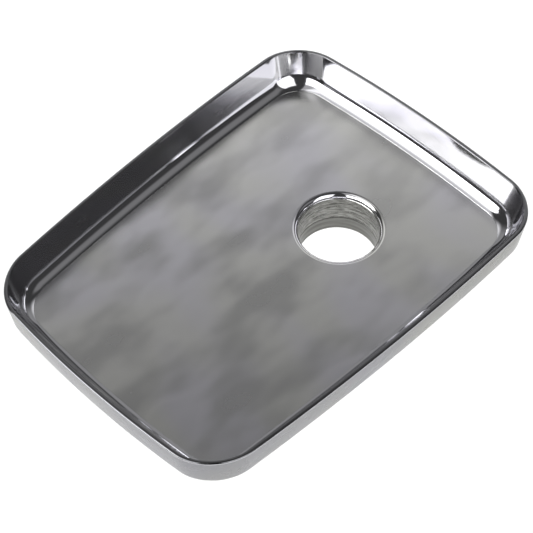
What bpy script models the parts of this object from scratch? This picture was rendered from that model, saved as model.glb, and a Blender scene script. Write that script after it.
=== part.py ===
"""Feed tray of a meat mincer: a shallow polished metal tray with an off-centre throat and a neck under it.

The origin is on the axis of the neck, in the plane of the tray's underside. +X runs along the tray
towards its wide end, near which the throat is, +Y runs across the tray and +Z points up out of it.
"""

import math

import bmesh
import bpy

# Driving sizes of the tray, in metres. Drafts and the fillet's end are degrees from upright: the
# floor is ground flat, so it meets the fillet before the fillet has turned level.
TRAY_LENGTH = 0.292
TRAY_WIDTH = 0.2145
TRAY_HEIGHT = 0.0263
WALL = 0.0030
CORNER_RADIUS = 0.0304
INSIDE_DRAFT = 18
OUTSIDE_DRAFT = 7
FLOOR_FILLET = 0.0126
FLOOR_FILLET_END = 72
UNDERSIDE_FILLET = 0.0070
RIM_ROUND = 0.0010

# The inner corners open out by this much more than the wall does, down to the floor.
CORNER_EASE = 0.0045

# The long sides bow out by this share of the half width, the short sides by this share of the
# half length, and the width grows by this share from one end to the other.
LONG_SIDE_BOW = 0.051
SHORT_SIDE_BOW = 0.044
WIDENING = 0.12

# Where the throat's axis stands from the middle of the tray.
THROAT_ALONG = 0.0529
THROAT_ACROSS = -0.0133

# The throat turns down out of the floor over a lip, into the tray's own short neck.
THROAT_RADIUS = 0.0260
LIP_RADIUS = 0.0038
TRAY_NECK_DROP = 0.0190

# The sleeve fits round the tray's neck and closes in below it to the throat's own radius.
FIT_GAP = 0.0003
SLEEVE_WALL = 0.0022
SLEEVE_DROP = 0.0295
SLEEVE_TOP_CHAMFER = 0.0014
EDGE_CHAMFER = 0.0006

# The bead that joins the sleeve to the underside of the tray.
BEAD_LEG = 0.0032
BEAD_CROWN = 0.0005

# How finely the round shapes are divided.
CORNER_STEPS = 14
SIDE_STEPS = 8
FILLET_STEPS = 7
RIM_STEPS = 3
BEAD_STEPS = 6
ROUND_STEPS = 96

LIP_OUTER_RADIUS = THROAT_RADIUS + LIP_RADIUS
TRAY_NECK_OUTER = THROAT_RADIUS + WALL
SLEEVE_SOCKET = TRAY_NECK_OUTER + FIT_GAP
SLEEVE_OUTER = SLEEVE_SOCKET + SLEEVE_WALL


def clear_scene():
    for thing in list(bpy.data.objects):
        bpy.data.objects.remove(thing, do_unlink=True)


def metal(name, colour, roughness):
    material = bpy.data.materials.new(name)
    material.use_nodes = True
    shader = material.node_tree.nodes["Principled BSDF"]
    shader.inputs["Base Color"].default_value = (*colour, 1.0)
    shader.inputs["Roughness"].default_value = roughness
    shader.inputs["Metallic"].default_value = 1.0
    return material


def add_object(name, shape, material):
    """Turns a bmesh into a smooth-shaded object of the scene."""
    bmesh.ops.recalc_face_normals(shape, faces=shape.faces)
    mesh = bpy.data.meshes.new(name)
    shape.to_mesh(mesh)
    shape.free()
    mesh.materials.append(material)
    mesh.polygons.foreach_set("use_smooth", [True] * len(mesh.polygons))
    made = bpy.data.objects.new(name, mesh)
    bpy.context.scene.collection.objects.link(made)
    return made


def arc(centre, radius, first, last, steps):
    """Points (across, up) of an arc, with angles in degrees from the across direction."""
    points = []
    for step in range(steps + 1):
        angle = math.radians(first + (last - first) * step / steps)
        points.append((centre[0] + radius * math.cos(angle), centre[1] + radius * math.sin(angle)))
    return points


def plan_outline(inset, ease):
    """The tray's outline in plan, moved in from the rim's outer edge, about the throat's axis."""
    half_length = TRAY_LENGTH / 2 - inset
    half_width = TRAY_WIDTH / 2 - inset
    radius = CORNER_RADIUS - inset + ease
    corners = ((1, 1, 0), (-1, 1, 90), (-1, -1, 180), (1, -1, 270))
    outline = []
    for side_x, side_y, start in corners:
        centre = (side_x * (half_length - radius), side_y * (half_width - radius))
        outline += arc(centre, radius, start, start + 90, CORNER_STEPS)
    divided = []
    for number, point in enumerate(outline):
        divided.append(point)
        if number % (CORNER_STEPS + 1) == CORNER_STEPS:
            following = outline[(number + 1) % len(outline)]
            for step in range(1, SIDE_STEPS):
                share = step / SIDE_STEPS
                divided.append(
                    (
                        point[0] + (following[0] - point[0]) * share,
                        point[1] + (following[1] - point[1]) * share,
                    )
                )
    return [bowed(point) for point in divided]


def bowed(point):
    """Bows the sides, widens the tray towards +X, and moves the origin to the throat's axis."""
    along = point[0] / (TRAY_LENGTH / 2)
    across = point[1] / (TRAY_WIDTH / 2)
    x = point[0] * (1 - SHORT_SIDE_BOW * across**2)
    y = point[1] * (1 - LONG_SIDE_BOW * along**2) * (1 + WIDENING * x / TRAY_LENGTH)
    return (x - THROAT_ALONG, y - THROAT_ACROSS)


def wall_section():
    """(inset, height, share of the corner ease) from the floor, over the rim, to the underside."""
    draft = math.radians(INSIDE_DRAFT)
    rise = WALL + FLOOR_FILLET * math.sin(math.radians(FLOOR_FILLET_END))
    inset = WALL + (TRAY_HEIGHT - rise) * math.tan(draft) + FLOOR_FILLET / math.cos(draft)
    section = []
    fillet = arc(
        (inset, rise), FLOOR_FILLET, 180 + FLOOR_FILLET_END, 180 + INSIDE_DRAFT, FILLET_STEPS
    )
    for across, up in fillet:
        section.append((across, up, (rise - up) / (rise - WALL)))
    rim_base = TRAY_HEIGHT - RIM_ROUND
    for across, up in arc((WALL - RIM_ROUND, rim_base), RIM_ROUND, 0, 90, RIM_STEPS):
        section.append((across, up, 0))
    for across, up in arc((RIM_ROUND, rim_base), RIM_ROUND, 90, 180, RIM_STEPS):
        section.append((across, up, 0))
    lean = math.radians(OUTSIDE_DRAFT)
    turn_inset = (TRAY_HEIGHT - UNDERSIDE_FILLET) * math.tan(lean)
    turn_inset += UNDERSIDE_FILLET / math.cos(lean)
    turn = arc(
        (turn_inset, UNDERSIDE_FILLET), UNDERSIDE_FILLET, 180 + OUTSIDE_DRAFT, 270, FILLET_STEPS
    )
    section += [(across, up, 0) for across, up in turn]
    return section


def ring(shape, points, height):
    return [shape.verts.new((x, y, height)) for x, y in points]


def circle(radius):
    step = 2 * math.pi / ROUND_STEPS
    return [(radius * math.cos(n * step), radius * math.sin(n * step)) for n in range(ROUND_STEPS)]


def join_rings(shape, rings):
    """Makes a band of faces between each ring and the next."""
    for first, second in zip(rings, rings[1:]):
        count = len(first)
        for n in range(count):
            after = (n + 1) % count
            shape.faces.new((first[n], first[after], second[after], second[n]))


def ring_edges(shape, loop):
    edges = []
    for n, corner in enumerate(loop):
        following = loop[(n + 1) % len(loop)]
        edges.append(shape.edges.get((corner, following)) or shape.edges.new((corner, following)))
    return edges


def fill_between(shape, outer, inner):
    """Fills the flat area between two loops of vertices at one height."""
    edges = ring_edges(shape, outer) + ring_edges(shape, inner)
    bmesh.ops.triangle_fill(shape, use_beauty=True, use_dissolve=False, edges=edges)


def throat_section():
    """(radius, height) from the floor, over the lip, down the tray's neck and up its outside."""
    lip_height = WALL - LIP_RADIUS
    section = arc((LIP_OUTER_RADIUS, lip_height), LIP_RADIUS, 90, 180, FILLET_STEPS)
    foot = -TRAY_NECK_DROP
    section.append((THROAT_RADIUS, foot + EDGE_CHAMFER))
    section.append((THROAT_RADIUS + EDGE_CHAMFER, foot))
    section.append((TRAY_NECK_OUTER - EDGE_CHAMFER, foot))
    section.append((TRAY_NECK_OUTER, foot + EDGE_CHAMFER))
    under_lip = LIP_RADIUS - WALL
    section += arc((LIP_OUTER_RADIUS, lip_height), under_lip, 180, 90, RIM_STEPS)
    return section


def make_tray_pan():
    shape = bmesh.new()
    walls = []
    for inset, height, share in wall_section():
        walls.append(ring(shape, plan_outline(inset, CORNER_EASE * share), height))
    join_rings(shape, walls)
    throat = [ring(shape, circle(radius), height) for radius, height in throat_section()]
    join_rings(shape, throat)
    fill_between(shape, walls[0], throat[0])
    fill_between(shape, walls[-1], throat[-1])
    return add_object("tray_pan", shape, metal("polished_tray", (0.62, 0.62, 0.61), 0.22))


def turned_ring(name, section, material):
    """A closed ring made by turning a closed (radius, height) section about the throat's axis."""
    shape = bmesh.new()
    corners = [shape.verts.new((radius, 0, height)) for radius, height in section]
    outline = ring_edges(shape, corners)
    bmesh.ops.spin(
        shape,
        geom=corners + outline,
        cent=(0, 0, 0),
        axis=(0, 0, 1),
        angle=2 * math.pi,
        steps=ROUND_STEPS,
        use_merge=True,
    )
    return add_object(name, shape, material)


def make_neck_sleeve():
    top = -FIT_GAP
    foot = -SLEEVE_DROP
    shoulder = -TRAY_NECK_DROP - FIT_GAP
    section = [
        (SLEEVE_SOCKET + SLEEVE_TOP_CHAMFER, top),
        (SLEEVE_OUTER, top),
        (SLEEVE_OUTER, foot + EDGE_CHAMFER),
        (SLEEVE_OUTER - EDGE_CHAMFER, foot),
        (THROAT_RADIUS + EDGE_CHAMFER, foot),
        (THROAT_RADIUS, foot + EDGE_CHAMFER),
        (THROAT_RADIUS, shoulder),
        (SLEEVE_SOCKET, shoulder),
        (SLEEVE_SOCKET, top - SLEEVE_TOP_CHAMFER),
    ]
    return turned_ring("neck_sleeve", section, metal("turned_sleeve", (0.58, 0.58, 0.57), 0.30))


def make_weld_bead():
    """A fillet bead in the corner between the sleeve and the underside, with a low crown."""
    inside = SLEEVE_OUTER + FIT_GAP
    top = -FIT_GAP
    section = [(inside, top)]
    for step in range(BEAD_STEPS + 1):
        share = step / BEAD_STEPS
        crown = BEAD_CROWN * math.sin(math.pi * share)
        across = inside + BEAD_LEG * share + crown
        section.append((across, top - BEAD_LEG * (1 - share) - crown))
    return turned_ring("weld_bead", section, metal("dressed_weld", (0.52, 0.52, 0.51), 0.42))


def main():
    clear_scene()
    make_tray_pan()
    make_neck_sleeve()
    make_weld_bead()


main()
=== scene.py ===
"""Looks of the mincer's feed tray: its polished shell, turned sleeve, weld, light and camera.

Everything is in metres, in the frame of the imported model: the origin is on the neck's axis in the
plane of the tray's underside, +X runs to the wide end and +Z points up.
"""

import math

import bpy
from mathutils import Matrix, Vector


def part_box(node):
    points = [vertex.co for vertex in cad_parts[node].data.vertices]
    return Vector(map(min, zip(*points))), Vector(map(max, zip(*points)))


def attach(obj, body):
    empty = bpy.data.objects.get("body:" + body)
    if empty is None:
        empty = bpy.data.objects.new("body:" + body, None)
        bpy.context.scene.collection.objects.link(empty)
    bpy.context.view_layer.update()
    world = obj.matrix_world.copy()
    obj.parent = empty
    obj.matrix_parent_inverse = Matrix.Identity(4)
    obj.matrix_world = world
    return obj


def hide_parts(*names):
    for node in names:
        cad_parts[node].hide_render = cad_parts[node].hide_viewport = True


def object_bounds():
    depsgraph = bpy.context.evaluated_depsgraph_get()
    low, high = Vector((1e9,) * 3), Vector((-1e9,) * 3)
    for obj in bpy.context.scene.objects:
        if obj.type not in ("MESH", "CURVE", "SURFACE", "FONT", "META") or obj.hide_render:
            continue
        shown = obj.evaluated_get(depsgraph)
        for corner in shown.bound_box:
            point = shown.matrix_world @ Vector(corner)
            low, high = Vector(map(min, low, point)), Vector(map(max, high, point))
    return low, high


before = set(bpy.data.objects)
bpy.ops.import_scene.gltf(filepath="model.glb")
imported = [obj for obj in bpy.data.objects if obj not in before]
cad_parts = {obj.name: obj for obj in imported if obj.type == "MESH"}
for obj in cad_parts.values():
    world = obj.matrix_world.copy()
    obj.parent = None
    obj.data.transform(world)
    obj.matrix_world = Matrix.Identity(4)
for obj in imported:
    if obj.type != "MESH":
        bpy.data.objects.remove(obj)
cad_low, cad_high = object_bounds()
tray_low, tray_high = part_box("tray_pan")
sleeve_low, sleeve_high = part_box("neck_sleeve")
bead_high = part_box("weld_bead")[1]

# The tray's own sizes. Drafts and the fillet's end are degrees from upright.
LENGTH = tray_high.x - tray_low.x
MIDDLE_WIDTH = 0.2145
HEIGHT = tray_high.z
WALL = 0.0030
CORNER = 0.0304
CORNER_EASE = 0.0045
INSIDE_DRAFT = 18
OUTSIDE_DRAFT = 7
FLOOR_FILLET = 0.0126
FLOOR_FILLET_END = 72
UNDERSIDE_FILLET = 0.0070
RIM_ROUND = 0.0010
LONG_SIDE_BOW = 0.051
SHORT_SIDE_BOW = 0.044
WIDENING = 0.12
CENTRE = Vector(((tray_low.x + tray_high.x) / 2, 0.0133, 0.0))

# The throat and what stands under it. Neighbouring pieces stand a fit gap apart.
THROAT = 0.0260
LIP = 0.0038
NECK_OUTER = THROAT + WALL
NECK_FOOT = tray_low.z
NECK_EDGE = 0.0003
FIT_GAP = 0.0003
SLEEVE_OUTER = sleeve_high.x
SLEEVE_SOCKET = NECK_OUTER + FIT_GAP
SOCKET_CHAMFER = 0.0014
SHOULDER = NECK_FOOT - FIT_GAP
BEAD_CROWN = 0.0005

# How finely the round shapes are divided.
CORNER_SEGMENTS = 40
SIDE_CUTS = 23
FILLET_SEGMENTS = 22
RIM_SEGMENTS = 8
EDGE_SEGMENTS = 4
BEAD_SEGMENTS = 16
ROUND_SEGMENTS = 192

# Vertices closer together than this become one, and this margin of faces keeps each flat flat.
MERGE_DISTANCE = 0.000005
FLAT_MARGIN = 0.0004

# The camera looks this way, and the studio is set up along it, turned from +X.
VIEW_TURN = math.radians(44.04)

# The tray hangs this far over the studio's floor.
FLOOR_DROP = 0.35


# ---------------------------------------------------------------- modelling helpers


def edit_new(name):
    """Names the primitive that was just added and opens it for editing with nothing selected."""
    piece = bpy.context.active_object
    piece.name = name
    piece.data.name = name
    bpy.ops.object.mode_set(mode="EDIT")
    return piece


def select(piece, kind, test):
    """Selects the edges of the open mesh whose ends, or the faces whose middles, pass the test."""
    bpy.ops.object.mode_set(mode="OBJECT")
    mesh = piece.data
    for group in (mesh.vertices, mesh.edges, mesh.polygons):
        group.foreach_set("select", [False] * len(group))
    if kind == "EDGE":
        for edge in mesh.edges:
            first, second = edge.vertices
            edge.select = test(mesh.vertices[first].co, mesh.vertices[second].co)
    if kind == "FACE":
        for face in mesh.polygons:
            face.select = test(face.center, face.normal)
    bpy.ops.object.mode_set(mode="EDIT")
    bpy.ops.mesh.select_mode(type=kind)


def finish_edit(piece, angle):
    """Closes the mesh with its faces outwards, and smooths all edges flatter than the angle."""
    bpy.ops.mesh.select_all(action="SELECT")
    bpy.ops.mesh.remove_doubles(threshold=MERGE_DISTANCE)
    bpy.ops.mesh.normals_make_consistent(inside=False)
    bpy.ops.object.mode_set(mode="OBJECT")
    bpy.ops.object.transform_apply(location=True, rotation=True, scale=True)
    bpy.ops.object.shade_smooth_by_angle(angle=math.radians(angle))
    return piece


def apply_modifiers(piece):
    bpy.context.view_layer.objects.active = piece
    for modifier in list(piece.modifiers):
        bpy.ops.object.modifier_apply(modifier=modifier.name)


def cylinder(name, radius, low, high):
    bpy.ops.object.select_all(action="DESELECT")
    bpy.ops.mesh.primitive_cylinder_add(
        vertices=ROUND_SEGMENTS,
        radius=radius,
        depth=high - low,
        end_fill_type="NGON",
        location=(0, 0, (low + high) / 2),
    )
    made = bpy.context.active_object
    made.name = name
    bpy.ops.object.transform_apply(location=True)
    return made


def combine(piece, other, operation):
    """Joins another closed mesh to the piece, or cuts it out, and removes the other."""
    modifier = piece.modifiers.new(operation.lower(), "BOOLEAN")
    modifier.operation = operation
    modifier.object = other
    modifier.solver = "EXACT"
    apply_modifiers(piece)
    bpy.data.objects.remove(other)


def near(value, target, slack=0.00002):
    return abs(value - target) < slack


# ---------------------------------------------------------------- the tray


def arc(centre, radius, first, last, steps):
    """Points (inset, height) of an arc, with angles in degrees from the inward direction."""
    points = []
    for step in range(steps + 1):
        angle = math.radians(first + (last - first) * step / steps)
        points.append((centre[0] + radius * math.cos(angle), centre[1] + radius * math.sin(angle)))
    return points


def rounded_sheet(name, height):
    """A flat sheet, centred on the tray, with round corners and divided sides."""
    bpy.ops.object.select_all(action="DESELECT")
    bpy.ops.mesh.primitive_plane_add(size=1, location=(0, 0, 0))
    sheet = edit_new(name)
    bpy.ops.mesh.select_all(action="SELECT")
    bpy.ops.transform.resize(value=(LENGTH, MIDDLE_WIDTH, 1))
    bpy.ops.mesh.select_mode(type="VERT")
    bpy.ops.mesh.bevel(
        offset=CORNER, offset_type="OFFSET", segments=CORNER_SEGMENTS, affect="VERTICES"
    )
    select(sheet, "EDGE", lambda a, b: (a - b).length > CORNER)
    bpy.ops.mesh.subdivide(number_cuts=SIDE_CUTS, ngon=True)
    bpy.ops.mesh.select_all(action="SELECT")
    bpy.ops.transform.translate(value=(0, 0, height))
    bpy.ops.mesh.select_mode(type="FACE")
    return sheet


def cup(name, stations):
    """A sheet at the first (inset, height) station, pressed through the others in turn."""
    sheet = rounded_sheet(name, stations[0][1])
    for (inset, height), (next_inset, next_height) in zip(stations, stations[1:]):
        bpy.ops.mesh.inset(thickness=next_inset - inset, depth=next_height - height)
    bpy.ops.object.mode_set(mode="OBJECT")
    return sheet


FILLET_TOP = WALL + FLOOR_FILLET * math.sin(math.radians(FLOOR_FILLET_END))


def inside_stations():
    """From the rim's outer edge over its rounded top, down the wall and round to the floor."""
    lean = math.radians(INSIDE_DRAFT)
    inset = WALL + (HEIGHT - FILLET_TOP) * math.tan(lean) + FLOOR_FILLET / math.cos(lean)
    base = HEIGHT - RIM_ROUND
    stations = arc((RIM_ROUND, base), RIM_ROUND, 180, 90, RIM_SEGMENTS)
    stations += arc((WALL - RIM_ROUND, base), RIM_ROUND, 90, 0, RIM_SEGMENTS)[:-1]
    stations += arc(
        (inset, FILLET_TOP),
        FLOOR_FILLET,
        180 + INSIDE_DRAFT,
        180 + FLOOR_FILLET_END,
        FILLET_SEGMENTS,
    )
    return stations


def outside_stations():
    """From the rim's outer edge down the wall and round to the underside."""
    lean = math.radians(OUTSIDE_DRAFT)
    inset = (HEIGHT - UNDERSIDE_FILLET) * math.tan(lean) + UNDERSIDE_FILLET / math.cos(lean)
    turn = arc(
        (inset, UNDERSIDE_FILLET), UNDERSIDE_FILLET, 180 + OUTSIDE_DRAFT, 270, FILLET_SEGMENTS
    )
    return [(0.0, HEIGHT - RIM_ROUND)] + turn


def ease_corners(inside):
    """Opens out the inner corners towards the floor."""
    straight_x = LENGTH / 2 - CORNER
    straight_y = MIDDLE_WIDTH / 2 - CORNER
    for vertex in inside.data.vertices:
        x, y, z = vertex.co
        ease = CORNER_EASE * max(0.0, (FILLET_TOP - z) / (FILLET_TOP - WALL))
        past_x = abs(x) - straight_x
        past_y = abs(y) - straight_y
        if past_x > 0 and past_y > 0:
            away = math.hypot(past_x, past_y)
            x -= math.copysign(ease * (1 - past_x / away), x)
            y -= math.copysign(ease * (1 - past_y / away), y)
        elif past_x > 0:
            y -= ease * y / straight_y
        else:
            x -= ease * x / straight_x
        vertex.co = (x, y, z)


def bow_sides(shell):
    """Bows the sides, widens the tray to +X and puts it in its place about the throat."""
    for vertex in shell.data.vertices:
        x, y, z = vertex.co
        along = x / (LENGTH / 2)
        over = y / (MIDDLE_WIDTH / 2)
        x *= 1 - SHORT_SIDE_BOW * over**2
        y *= (1 - LONG_SIDE_BOW * along**2) * (1 + WIDENING * x / LENGTH)
        vertex.co = (x + CENTRE.x, y + CENTRE.y, z)
    widest = max(vertex.co.y for vertex in shell.data.vertices)
    share = (tray_high.y - CENTRE.y) / (widest - CENTRE.y)
    for vertex in shell.data.vertices:
        vertex.co.y = CENTRE.y + (vertex.co.y - CENTRE.y) * share


def pressed_shell():
    """The tray before its throat is cut: an outer and an inner cup joined round the rim."""
    outside = cup("tray_shell", outside_stations())
    inside = cup("tray_inside", inside_stations())
    ease_corners(inside)
    bpy.ops.object.select_all(action="DESELECT")
    inside.select_set(True)
    outside.select_set(True)
    bpy.context.view_layer.objects.active = outside
    bpy.ops.object.join()
    bpy.ops.object.mode_set(mode="EDIT")
    bpy.ops.mesh.select_all(action="SELECT")
    bpy.ops.mesh.remove_doubles(threshold=MERGE_DISTANCE)
    bpy.ops.mesh.normals_make_consistent(inside=False)
    bpy.ops.object.mode_set(mode="OBJECT")
    bow_sides(outside)
    return outside


def round_loop(piece, test, radius, segments):
    select(piece, "EDGE", test)
    bpy.ops.mesh.bevel(
        offset=radius,
        offset_type="OFFSET",
        segments=segments,
        profile=0.5,
        affect="EDGES",
        clamp_overlap=False,
    )


def on_ring(radius, height):
    """A test for the edges of one circle about the throat's axis."""
    return lambda a, b: (
        near(a.z, height)
        and near(b.z, height)
        and near(a.to_2d().length, radius)
        and near(b.to_2d().length, radius)
    )


def make_tray():
    shell = pressed_shell()
    combine(shell, cylinder("neck_stock", NECK_OUTER, NECK_FOOT, WALL / 2), "UNION")
    combine(shell, cylinder("bore_cutter", THROAT, NECK_FOOT - WALL, 2 * WALL), "DIFFERENCE")
    bpy.ops.object.select_all(action="DESELECT")
    shell.select_set(True)
    bpy.context.view_layer.objects.active = shell
    bpy.ops.object.mode_set(mode="EDIT")
    round_loop(shell, on_ring(THROAT, WALL), LIP, FILLET_SEGMENTS)
    round_loop(shell, on_ring(NECK_OUTER, 0.0), LIP - WALL, EDGE_SEGMENTS)
    round_loop(shell, on_ring(THROAT, NECK_FOOT), NECK_EDGE, EDGE_SEGMENTS)
    round_loop(shell, on_ring(NECK_OUTER, NECK_FOOT), NECK_EDGE, EDGE_SEGMENTS)
    for height, upward in ((WALL, 1), (0.0, -1)):
        select(shell, "FACE", lambda c, n: near(c.z, height) and n.z * upward > 0.999)
        bpy.ops.mesh.inset(thickness=FLAT_MARGIN, depth=0)
    return finish_edit(shell, 16)


# ---------------------------------------------------------------- the neck's sleeve and weld


def turned(name, stations):
    """A ring turned about the neck's axis through closed (radius, height) stations."""
    bpy.ops.object.select_all(action="DESELECT")
    radius, height = stations[0]
    bpy.ops.mesh.primitive_circle_add(
        vertices=ROUND_SEGMENTS, radius=radius, fill_type="NOTHING", location=(0, 0, height)
    )
    piece = edit_new(name)
    bpy.ops.mesh.select_all(action="SELECT")
    for next_radius, next_height in stations[1:]:
        bpy.ops.mesh.extrude_edges_move(
            TRANSFORM_OT_translate={"value": (0, 0, next_height - height)}
        )
        share = next_radius / radius
        bpy.ops.transform.resize(value=(share, share, 1))
        radius, height = next_radius, next_height
    select(piece, "EDGE", lambda a, b: False)
    bpy.ops.mesh.select_mode(type="EDGE")
    bpy.ops.mesh.select_non_manifold()
    bpy.ops.mesh.bridge_edge_loops()
    return piece


def make_sleeve():
    """A socket round the tray's neck that closes in under it to the throat's own radius."""
    stations = [
        (SLEEVE_OUTER, sleeve_high.z),
        (SLEEVE_OUTER, sleeve_low.z),
        (THROAT, sleeve_low.z),
        (THROAT, SHOULDER),
        (SLEEVE_SOCKET, SHOULDER),
        (SLEEVE_SOCKET, sleeve_high.z - SOCKET_CHAMFER),
        (SLEEVE_SOCKET + SOCKET_CHAMFER, sleeve_high.z),
    ]
    return finish_edit(turned("sleeve", stations), 30)


def make_weld():
    """A bead with a low crown, in the corner between the sleeve and the underside."""
    inside = SLEEVE_OUTER + FIT_GAP
    leg = bead_high.x - inside
    top = bead_high.z
    stations = [(inside, top)]
    for step in range(BEAD_SEGMENTS + 1):
        share = step / BEAD_SEGMENTS
        crown = BEAD_CROWN * math.sin(math.pi * share)
        stations.append((inside + leg * share + crown, top - leg * (1 - share) - crown))
    return finish_edit(turned("weld", stations), 50)


# ---------------------------------------------------------------- materials


class Value:
    """A number on a shader socket, so that shader maths reads as a plain expression."""

    def __init__(self, tree, socket):
        self.tree = tree
        self.socket = socket

    def maths(self, operation, *terms):
        node = self.tree.nodes.new("ShaderNodeMath")
        node.operation = operation
        for socket, term in zip(node.inputs, terms):
            feed(self.tree, socket, term)
        return Value(self.tree, node.outputs[0])

    def __add__(self, other):
        return self.maths("ADD", self, other)

    def __radd__(self, other):
        return self.maths("ADD", other, self)

    def __sub__(self, other):
        return self.maths("SUBTRACT", self, other)

    def __rsub__(self, other):
        return self.maths("SUBTRACT", other, self)

    def __mul__(self, other):
        return self.maths("MULTIPLY", self, other)

    def __rmul__(self, other):
        return self.maths("MULTIPLY", other, self)

    def __pow__(self, other):
        return self.maths("POWER", self, other)


def feed(tree, socket, term):
    """Links a socket to a value or another socket, or sets it to a constant."""
    if isinstance(term, Value):
        tree.links.new(term.socket, socket)
    elif isinstance(term, bpy.types.NodeSocket):
        tree.links.new(term, socket)
    else:
        socket.default_value = term


class Nodes:
    """A node tree under construction."""

    def __init__(self, tree):
        self.tree = tree

    def node(self, kind, settings=None, inputs=None):
        made = self.tree.nodes.new(kind)
        for name, setting in (settings or {}).items():
            setattr(made, name, setting)
        for name, term in (inputs or {}).items():
            feed(self.tree, made.inputs[name], term)
        return made

    def split(self, vector):
        """The three numbers of a vector."""
        parts = self.node("ShaderNodeSeparateXYZ", inputs={"Vector": vector})
        return [Value(self.tree, socket) for socket in parts.outputs]

    def ramp(self, value, low, high, first=0.0, last=1.0):
        """The value eased from first to last while it goes from low to high."""
        inputs = {
            "Value": value,
            "From Min": low,
            "From Max": high,
            "To Min": first,
            "To Max": last,
        }
        settings = {"interpolation_type": "SMOOTHSTEP"}
        made = self.node("ShaderNodeMapRange", settings, inputs)
        return Value(self.tree, made.outputs["Result"])

    def between(self, value, low, high, soft):
        """1 while the value is between low and high, with edges that fade over soft."""
        rising = self.ramp(value, low - soft / 2, low + soft / 2)
        falling = self.ramp(value, high - soft / 2, high + soft / 2, 1.0, 0.0)
        return rising * falling

    def graded(self, value, stops):
        """The level that follows (place, level) stops as the value grows."""
        level = stops[0][1]
        for (place, first), (next_place, last) in zip(stops, stops[1:]):
            level = level + self.ramp(value, place, next_place, 0.0, last - first)
        return level

    def mix(self, share, first, second):
        made = self.node("ShaderNodeMix", {"data_type": "RGBA"})
        for number, term in ((0, share), (6, first), (7, second)):
            feed(self.tree, made.inputs[number], term)
        return made.outputs[2]


class Finish(Nodes):
    """A material under construction, with its shader and the place of each point."""

    def __init__(self, name, metallic=1.0):
        self.material = bpy.data.materials.new(name)
        self.material.use_nodes = True
        super().__init__(self.material.node_tree)
        self.shader = self.tree.nodes["Principled BSDF"]
        self.shader.inputs["Metallic"].default_value = metallic
        self.place = self.node("ShaderNodeTexCoord").outputs["Object"]
        self.x, self.y, self.z = self.split(self.place)

    def mapped(self, scale, turn=0.0):
        """The place of each point, turned about the neck's axis and stretched."""
        inputs = {"Vector": self.place, "Scale": scale, "Rotation": (0, 0, math.radians(turn))}
        return self.node("ShaderNodeMapping", inputs=inputs).outputs["Vector"]

    def noise(self, vector, scale, detail=3.0, rough=0.5):
        inputs = {"Vector": vector, "Scale": scale, "Detail": detail, "Roughness": rough}
        return Value(self.tree, self.node("ShaderNodeTexNoise", inputs=inputs).outputs["Fac"])

    def bump(self, height, distance, after=None):
        inputs = {"Height": height, "Distance": distance}
        if after is not None:
            inputs["Normal"] = after
        return self.node("ShaderNodeBump", inputs=inputs).outputs["Normal"]

    def surface(self, **sockets):
        for name, term in sockets.items():
            feed(self.tree, self.shader.inputs[name.replace("_", " ")], term)
        return self.material


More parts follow.
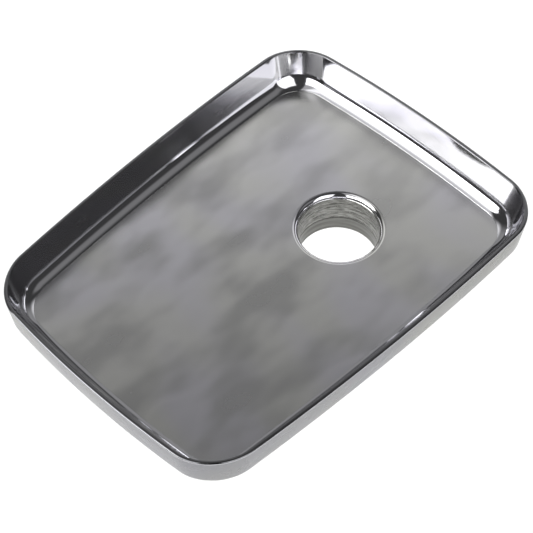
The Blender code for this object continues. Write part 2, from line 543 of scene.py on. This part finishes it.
def tray_metal():
    """Polished wall and lip, a satin floor with cloudy buffing, and a matt, roughly turned throat;
    the throat carries painted shade, the floor painted light and the rim's top a painted reflection.
    """
    metal = Finish("polished_tray_metal")
    radius = (metal.x**2 + metal.y**2) ** 0.5

    # Where each finish lies: the flat floor, the throat under its lip, and the top of the rim, whose
    # dark colour is a painted reflection.
    level = metal.ramp(metal.z, WALL + 0.00002, WALL + 0.00008, 1.0, 0.0)
    floor = level * metal.ramp(radius, THROAT + LIP - 0.0002, THROAT + LIP + 0.0002)
    deep = metal.ramp(metal.z, -0.0006, 0.0004, 1.0, 0.0)
    bore = deep * metal.ramp(radius, THROAT + 0.0002, THROAT + 0.0010, 1.0, 0.0)
    rim = metal.ramp(metal.z, HEIGHT - 0.0008, HEIGHT - 0.0003)

    # Buffing leaves the floor in broad clouds, with two faint tints. The clouds fade out towards the
    # wide end as painted light, which makes that side of the floor lighter.
    clouds = metal.noise(metal.mapped((1.0, 2.1, 1.0), -38), 15.0, 2.0)
    haze = metal.noise(metal.mapped((1.0, 1.0, 1.0)), 46.0, 3.0)
    tint = metal.noise(metal.mapped((1.6, 1.0, 1.0), -30), 11.0, 1.0)
    buffed = metal.mix(
        metal.ramp(tint, 0.38, 0.62), (0.545, 0.54, 0.575, 1.0), (0.555, 0.555, 0.54, 1.0)
    )
    buff_clouds_and_painted_light = metal.ramp(clouds + 0.12 * haze, 0.44, 0.72, 0.0, 0.80)
    # Painted light: the clouds fade towards +X, so the floor is lighter towards the wide end.
    buff_clouds_and_painted_light = buff_clouds_and_painted_light * floor * metal.ramp(metal.x, -0.06, 0.07, 1.0, 0.45)
    buffed = metal.mix(buff_clouds_and_painted_light, buffed, (0.30, 0.30, 0.30, 1.0))
    buffed = metal.mix(level, (0.55, 0.548, 0.572, 1.0), buffed)
    # Painted reflection: the rim's top is painted dark, standing in for the dark that it would
    # mirror.
    buffed = metal.mix(rim, buffed, (0.17, 0.17, 0.178, 1.0))

    # The cutter's streaks and tears run round the throat. The throat's colour is kept dark as painted
    # shade inside it, and the streaks vary that colour.
    streaks = metal.noise(metal.mapped((0.06, 0.06, 1.0)), 700.0, 3.0, 0.6)
    tears = metal.noise(metal.mapped((0.22, 0.22, 1.0)), 900.0, 3.0, 0.6)
    marks = streaks * 0.5 + tears * 0.5
    # Painted shade: the throat's colours are far darker than the wall's, standing in for the shade
    # inside the throat; the streaks are the cutter's marks.
    turned_marks_and_painted_shade = metal.mix(
        metal.ramp(marks, 0.36, 0.64), (0.07, 0.07, 0.062, 1.0), (0.36, 0.36, 0.34, 1.0)
    )

    polished = 0.05 + 0.05 * haze
    satin = 0.17 + 0.08 * metal.ramp(clouds, 0.3, 0.7) + 0.05 * haze
    turned_metal = 0.18 + 0.20 * streaks
    roughness = polished + floor * (satin - polished) + bore * (turned_metal - polished)

    waves = metal.noise(metal.mapped((1.0, 1.0, 1.0)), 38.0, 1.0)
    hand_finish = metal.bump(waves * (1.0 - level), 0.00012)
    return metal.surface(
        Base_Color=metal.mix(bore, buffed, turned_marks_and_painted_shade),
        Roughness=roughness,
        Normal=metal.bump(bore * marks, 0.0010, hand_finish),
    )


def outside_metal():
    """The satin outside of the wall and the underside, with a slight change of tint."""
    metal = Finish("satin_outside_metal")
    tint = metal.noise(metal.mapped((1.0, 1.0, 1.0), 20), 9.0, 2.0)
    haze = metal.noise(metal.mapped((1.0, 1.0, 2.0)), 60.0, 3.0)
    colour = metal.mix(
        metal.ramp(tint, 0.36, 0.64), (0.27, 0.27, 0.287, 1.0), (0.295, 0.295, 0.281, 1.0)
    )
    return metal.surface(Base_Color=colour, Roughness=0.20 + 0.14 * haze)


def sleeve_metal():
    """A finely turned sleeve, matt inside, where painted shade makes it darker."""
    metal = Finish("turned_sleeve_metal")
    radius = (metal.x**2 + metal.y**2) ** 0.5
    inner = metal.ramp(radius, THROAT + 0.0002, THROAT + 0.0010, 1.0, 0.0)
    rings = metal.noise(metal.mapped((0.02, 0.02, 1.0)), 900.0, 3.0)
    # Painted shade: the inside is coloured darker than the outside, standing in for the shade inside
    # the throat; the rings are the turning marks.
    turned_marks_and_painted_shade = metal.mix(
        metal.ramp(rings, 0.36, 0.64), (0.12, 0.12, 0.11, 1.0), (0.20, 0.20, 0.188, 1.0)
    )
    colour = metal.mix(inner, (0.33, 0.33, 0.325, 1.0), turned_marks_and_painted_shade)
    return metal.surface(
        Base_Color=colour,
        Roughness=0.24 + 0.12 * rings,
        Normal=metal.bump(rings, 0.00003),
    )


def weld_metal():
    """A bead that was dressed with a fine wheel, with a rough grain."""
    metal = Finish("dressed_weld_metal")
    grain = metal.noise(metal.mapped((1.0, 1.0, 1.0)), 700.0, 3.0)
    return metal.surface(
        Base_Color=(0.30, 0.30, 0.29, 1.0),
        Roughness=0.36 + 0.18 * grain,
        Normal=metal.bump(grain, 0.0002),
    )


def dress(piece, node, slot, *materials):
    """Gives a piece its materials, hangs it under the root body and hides the part of the model that
    it stands for.
    """
    piece.data.materials.clear()
    for material in materials:
        piece.data.materials.append(material)
    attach(piece, "root")
    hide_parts(node)


def coat_outside(tray):
    """Gives all that looks down, clear of the neck, the tray's second material."""
    for face in tray.data.polygons:
        beyond_neck = face.center.to_2d().length > NECK_OUTER + 0.001
        if beyond_neck and face.normal.z < -0.05:
            face.material_index = 1


# ---------------------------------------------------------------- floor, light and camera


def make_floor():
    """A pale floor, well under the tray so that no hard shadow lies round it."""
    bpy.ops.object.select_all(action="DESELECT")
    bpy.ops.mesh.primitive_plane_add(size=12, location=(0, 0, cad_low.z - FLOOR_DROP))
    floor = bpy.context.active_object
    floor.name = "studio_floor"
    paint = Finish("pale_floor_paint", metallic=0.0)
    floor.data.materials.append(
        paint.surface(Base_Color=(0.92, 0.92, 0.92, 1.0), Roughness=0.9)
    )


def make_fill_light():
    """A wide, soft overhead light for the floor, which the metal doesn't mirror."""
    lamp = bpy.data.lights.new("overhead_fill", "SUN")
    lamp.energy = 0.3
    lamp.angle = math.radians(70)
    made = bpy.data.objects.new("overhead_fill", lamp)
    bpy.context.scene.collection.objects.link(made)
    made.location = (0, 0, 2)
    made.visible_glossy = False


def make_surround():
    """White panels to the left and the front right in a dark studio with a pale back wall.

    All are placed by direction, in degrees: the azimuth runs from the camera's side to its right,
    and the elevation from level to straight up.
    """
    world = bpy.data.worlds.new("studio_world")
    bpy.context.scene.world = world
    world.use_nodes = True
    sky = Nodes(world.node_tree)
    x, y, z = sky.split(sky.node("ShaderNodeTexCoord").outputs["Generated"])
    rightwards = math.sin(VIEW_TURN) * x - math.cos(VIEW_TURN) * y
    onwards = math.cos(VIEW_TURN) * x + math.sin(VIEW_TURN) * y
    azimuth = rightwards.maths("ARCTAN2", rightwards, -1.0 * onwards) * math.degrees(1)
    elevation = z.maths("ARCSINE", z) * math.degrees(1)

    # The left panel's foot rises towards the camera, and its outer edge leans out above.
    left_foot = sky.ramp(azimuth, -64, -57, 19, 21)
    left_edge = sky.ramp(elevation, 24, 36, -87, -99)
    left = sky.ramp(azimuth - left_edge, -2, 2) * sky.ramp(azimuth, -21, -17, 1.0, 0.0)
    left = left * sky.ramp(elevation - left_foot, -3, 3) * sky.ramp(elevation, 46, 60, 1.0, 0.14)
    left = left * sky.ramp(azimuth, -64, -50, 6.0, 4.0) * sky.ramp(elevation, 24, 34, 1.7, 1.0)

    # A weaker panel carries on over the left one, up towards the ceiling.
    over = sky.between(azimuth, -150, -60, 24) * sky.between(elevation, 58, 82, 8)

    # The right panel stands beside the camera, with a faint one further round.
    right_foot = sky.ramp(azimuth, 14, 24, 26, 8)
    right = sky.between(azimuth, 14, 60, 4) * sky.ramp(elevation - right_foot, -3, 3)
    right = right * sky.ramp(elevation, 58, 66, 1.0, 0.0)
    beside = sky.between(azimuth, 66, 108, 16) * sky.between(elevation, 34, 58, 14)

    # The wall behind the tray is palest at the height that its flat floor mirrors.
    behind = sky.ramp(azimuth.maths("ABSOLUTE", azimuth), 122, 146)
    wall = sky.graded(
        elevation, [(4, 0.10), (14, 0.34), (28, 0.30), (43, 1.15), (53, 0.36), (61, 0.13), (76, 0.03)]
    )
    light = 0.065 + left + 0.9 * over + 2.4 * right + 0.22 * beside + behind * wall

    # The metal mirrors this light, and the camera sees plain white past the studio's floor.
    backdrop = world.node_tree.nodes["Background"]
    feed(world.node_tree, backdrop.inputs["Color"], light)

    plain = sky.node("ShaderNodeBackground", inputs={"Color": (1.0, 1.0, 1.0, 1.0)})
    seen = Value(world.node_tree, sky.node("ShaderNodeLightPath").outputs["Is Camera Ray"])
    choice = sky.node("ShaderNodeMixShader")
    feed(world.node_tree, choice.inputs[0], seen)
    feed(world.node_tree, choice.inputs[1], backdrop.outputs[0])
    feed(world.node_tree, choice.inputs[2], plain.outputs[0])
    output = world.node_tree.nodes["World Output"]
    feed(world.node_tree, output.inputs["Surface"], choice.outputs[0])


def make_camera():
    """A long lens from the near left, high over the tray."""
    camera = bpy.data.cameras.new("camera")
    camera.lens = 107.25
    camera.sensor_width = 36
    camera.shift_x = -0.028
    camera.shift_y = -0.047
    camera.clip_start = 0.01
    made = bpy.data.objects.new("camera", camera)
    bpy.context.scene.collection.objects.link(made)
    made.location = (-0.4779, -0.4103, 0.7858)
    aim = Vector((-0.0326, 0.0190, 0.0015))
    made.rotation_euler = (aim - made.location).to_track_quat("-Z", "Y").to_euler()
    bpy.context.scene.camera = made


bpy.context.scene.view_settings.view_transform = "Standard"
make_camera()
make_floor()
make_fill_light()
make_surround()
tray = make_tray()
dress(tray, "tray_pan", "polished_tray", tray_metal(), outside_metal())
coat_outside(tray)
dress(make_sleeve(), "neck_sleeve", "turned_sleeve", sleeve_metal())
dress(make_weld(), "weld_bead", "dressed_weld", weld_metal())
